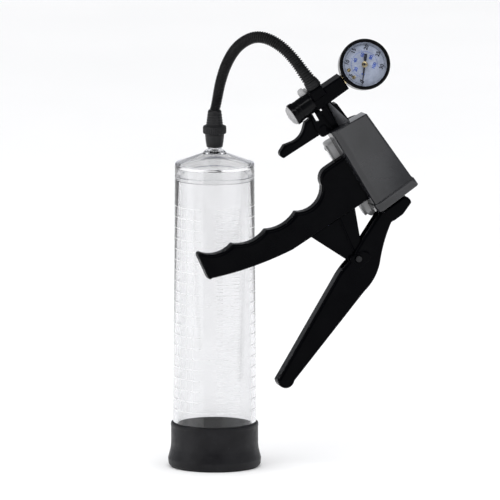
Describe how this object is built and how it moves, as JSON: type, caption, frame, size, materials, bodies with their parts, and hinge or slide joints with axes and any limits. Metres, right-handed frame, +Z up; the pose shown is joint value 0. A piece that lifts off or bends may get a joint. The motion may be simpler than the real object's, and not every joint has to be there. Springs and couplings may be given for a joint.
{
  "type": "hand vacuum pump",
  "caption": "Clear graduated vacuum chamber on a rubber collar, joined by a ribbed hose to a black pistol-grip trigger pump with a release trigger and a dial gauge.",
  "frame": {"origin": "centre of the collar's rest face, on the chamber's axis, at the surface it stands on", "axes": "+Z up the chamber's axis, +X towards the pump, +Y away from the gauge's face side"},
  "size_m": [0.1949, 0.0944, 0.3425],
  "materials": {
    "clear_plastic": "gloss",
    "seat_rubber": "matte",
    "ribbed_hose": "satin",
    "black_gloss": "gloss",
    "black_handle": "gloss",
    "black_matte": "matte",
    "grey_plastic": "satin",
    "steel": "satin",
    "brass": "satin",
    "seal_rubber": "satin",
    "dial_face": "satin",
    "pointer_black": "satin",
    "lens_clear": "gloss"
  },
  "bodies": {
    "chamber": {"base_collar": "seat_rubber", "chamber_tube": "clear_plastic", "chamber_cap": "clear_plastic", "nipple_o_ring": "seal_rubber"},
    "pump": {"coupling_socket": "black_matte", "coupling_spring": "steel", "hose": "ribbed_hose", "hose_end_ferrule": "black_matte", "manifold": "black_handle", "side_plug": "grey_plastic", "valve_body": "black_handle", "valve_end_cap": "grey_plastic", "valve_spring": "steel", "trigger_bracket": "black_handle", "trigger_pin": "steel", "barrel": "grey_plastic", "barrel_head": "black_handle", "barrel_end_plug": "black_matte", "inlet_check_valve": "seal_rubber", "return_spring": "steel", "front_cover": "black_gloss", "rear_cover": "grey_plastic", "cover_screws": "steel", "grip": "black_handle", "pivot_pin": "steel", "pivot_clip": "steel", "gauge_case": "black_gloss", "gauge_bezel": "black_gloss", "gauge_lens": "lens_clear", "gauge_dial": "dial_face", "gauge_dial_screws": "brass", "gauge_stop_pin": "brass", "gauge_movement": "brass", "bourdon_tube": "brass", "gauge_stem": "brass"},
    "coupling_sleeve": {"coupling_collar": "black_matte"},
    "moving_handle": {"lever": "black_handle"},
    "piston_assembly": {"piston": "grey_plastic", "piston_seal": "seal_rubber", "exhaust_check_valve": "seal_rubber", "piston_rod": "grey_plastic", "rod_pin": "steel"},
    "trigger": {"release_trigger": "black_handle"},
    "valve_spool": {"valve_plunger": "brass"},
    "pointer": {"gauge_pointer": "pointer_black", "pointer_hub": "brass"}
  },
  "joints": [
    {"name": "hose_swivel", "type": "hinge", "parent": "chamber", "child": "pump", "pos_m": [0, 0, 0.26], "axis": [0, 0, 1], "continuous": true},
    {"name": "sleeve_slide", "type": "slide", "parent": "pump", "child": "coupling_sleeve", "axis": [0, 0, 1], "range_m": [0, 0.002], "stiffness_N_per_m": 400, "springref_m": -0.002, "deforming": ["coupling_spring"]},
    {"name": "lever_swing", "type": "hinge", "parent": "pump", "child": "moving_handle", "pos_m": [0.11031, -0.01644, 0.16731], "axis": [-0.2588, 0.9659, 0], "range_deg": [0, 34], "stiffness_Nm_per_rad": 0.3, "springref_deg": -17.19},
    {"name": "rod_slide", "type": "slide", "parent": "pump", "child": "piston_assembly", "axis": [0.5261, 0.141, -0.8387], "range_m": [0, 0.0313], "stiffness_N_per_m": 15, "springref_m": -0.015, "deforming": ["return_spring"]},
    {"name": "trigger_swing", "type": "hinge", "parent": "pump", "child": "trigger", "pos_m": [0.08328, -0.02368, 0.27136], "axis": [0.2588, -0.9659, 0], "range_deg": [0, 8], "stiffness_Nm_per_rad": 0.05, "springref_deg": -17.19},
    {"name": "plunger_slide", "type": "slide", "parent": "pump", "child": "valve_spool", "axis": [-0.8101, -0.2171, -0.5446], "range_m": [0, 0.0025], "stiffness_N_per_m": 2, "springref_m": -0.004, "deforming": ["valve_spring"]},
    {"name": "pointer_turn", "type": "hinge", "parent": "pump", "child": "pointer", "pos_m": [0.11612, -0.01488, 0.31907], "axis": [0.1038, -0.9674, 0.2312], "range_deg": [0, 270], "stiffness_Nm_per_rad": 0.0002, "springref_deg": -11.46}
  ],
  "couplings": [
    {"joint": "rod_slide", "follows": "lever_swing", "m_per_rad": 0.0525},
    {"joint": "plunger_slide", "follows": "trigger_swing", "m_per_rad": 0.0175}
  ]
}
